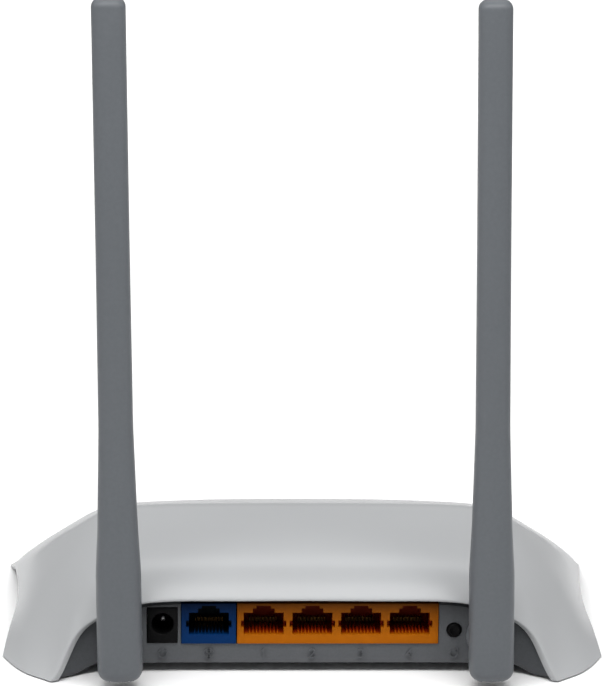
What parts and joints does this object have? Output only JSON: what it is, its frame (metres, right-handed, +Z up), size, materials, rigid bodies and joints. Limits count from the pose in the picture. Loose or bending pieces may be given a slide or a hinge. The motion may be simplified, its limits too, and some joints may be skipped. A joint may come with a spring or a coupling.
{
  "type": "wireless router",
  "caption": "Desktop wireless router with an arched split housing, folding rear antennas, coloured network sockets, a power socket and a reset button.",
  "frame": {"origin": "middle of the whole object's footprint, on the table", "axes": "+Z up, +Y towards the front edge, so the rear panel and the antennas face -Y; +X to the right seen from behind"},
  "size_m": [0.184, 0.1366, 0.1985],
  "materials": {
    "shell_plastic": "gloss moulded plastic, light grey-white",
    "base_plastic": "fine spark-eroded texture, dark grey",
    "antenna_plastic": "satin moulded plastic, mid grey",
    "wan_plastic": "satin, blue",
    "lan_plastic": "satin, orange",
    "black_plastic": "satin, black",
    "rubber": "matte",
    "steel": "bright zinc plated",
    "aluminium": "satin",
    "gold_plating": "gold plated",
    "copper": "copper foil",
    "board_laminate": "green solder mask",
    "clear_plastic": "polished clear",
    "label_film": "plain film",
    "ferrite": "matte ceramic"
  },
  "bodies": {
    "housing": {"top_shell": "shell_plastic", "base_shell": "base_plastic", "blank_label": "label_film", "main_board": "board_laminate", "wan_jack": "wan_plastic", "wan_contacts": "gold_plating", "lan_jack_block": "lan_plastic", "power_jack": "black_plastic", "power_jack_pin": "steel", "tact_switch": "base_plastic", "processor": "black_plastic", "memory_chip": "black_plastic", "flash_chip": "black_plastic", "clock_crystal": "steel", "lan_transformer": "black_plastic", "wan_transformer": "black_plastic", "power_inductor": "ferrite", "radio_shield": "steel", "light_guide": "clear_plastic", "board_screw_1": "steel", "board_screw_2": "steel", "lan_contacts_1": "gold_plating", "rubber_foot_1": "rubber", "housing_screw_1": "steel", "lan_contacts_2": "gold_plating", "rubber_foot_2": "rubber", "housing_screw_2": "steel", "lan_contacts_3": "gold_plating", "rubber_foot_3": "rubber", "housing_screw_3": "steel", "lan_contacts_4": "gold_plating", "rubber_foot_4": "rubber", "housing_screw_4": "steel", "capacitor_1": "aluminium", "capacitor_2": "aluminium", "capacitor_3": "aluminium", "left_antenna_cable": "black_plastic", "right_antenna_cable": "black_plastic"},
    "left_swivel": {"left_antenna_swivel_bracket": "antenna_plastic", "left_antenna_retaining_clip": "steel"},
    "left_antenna": {"left_antenna_rear_cover": "antenna_plastic", "left_antenna_front_cover": "antenna_plastic", "left_antenna_hinge_pin": "steel", "left_antenna_radiator": "copper"},
    "right_swivel": {"right_antenna_swivel_bracket": "antenna_plastic", "right_antenna_retaining_clip": "steel"},
    "right_antenna": {"right_antenna_rear_cover": "antenna_plastic", "right_antenna_front_cover": "antenna_plastic", "right_antenna_hinge_pin": "steel", "right_antenna_radiator": "copper"},
    "reset_plunger": {"reset_button": "black_plastic"}
  },
  "joints": [
    {"name": "left_antenna_swivel", "type": "hinge", "parent": "housing", "child": "left_swivel", "pos_m": [-0.0532, -0.0497, 0.0117], "axis": [0, -1, 0], "range_deg": [-12, 80]},
    {"name": "left_antenna_tilt", "type": "hinge", "parent": "left_swivel", "child": "left_antenna", "pos_m": [-0.0532, -0.0627, 0.0117], "axis": [0.9999, 0, 0.0122], "range_deg": [0, 90]},
    {"name": "right_antenna_swivel", "type": "hinge", "parent": "housing", "child": "right_swivel", "pos_m": [0.0532, -0.0497, 0.0117], "axis": [0, 1, 0], "range_deg": [-12, 80]},
    {"name": "right_antenna_tilt", "type": "hinge", "parent": "right_swivel", "child": "right_antenna", "pos_m": [0.0532, -0.0627, 0.0117], "axis": [0.9999, 0, 0.0166], "range_deg": [0, 90]},
    {"name": "reset_button_press", "type": "slide", "parent": "housing", "child": "reset_plunger", "axis": [0, 1, 0], "range_m": [0, 0.0006], "stiffness_N_per_m": 400, "springref_m": -0.001}
  ]
}
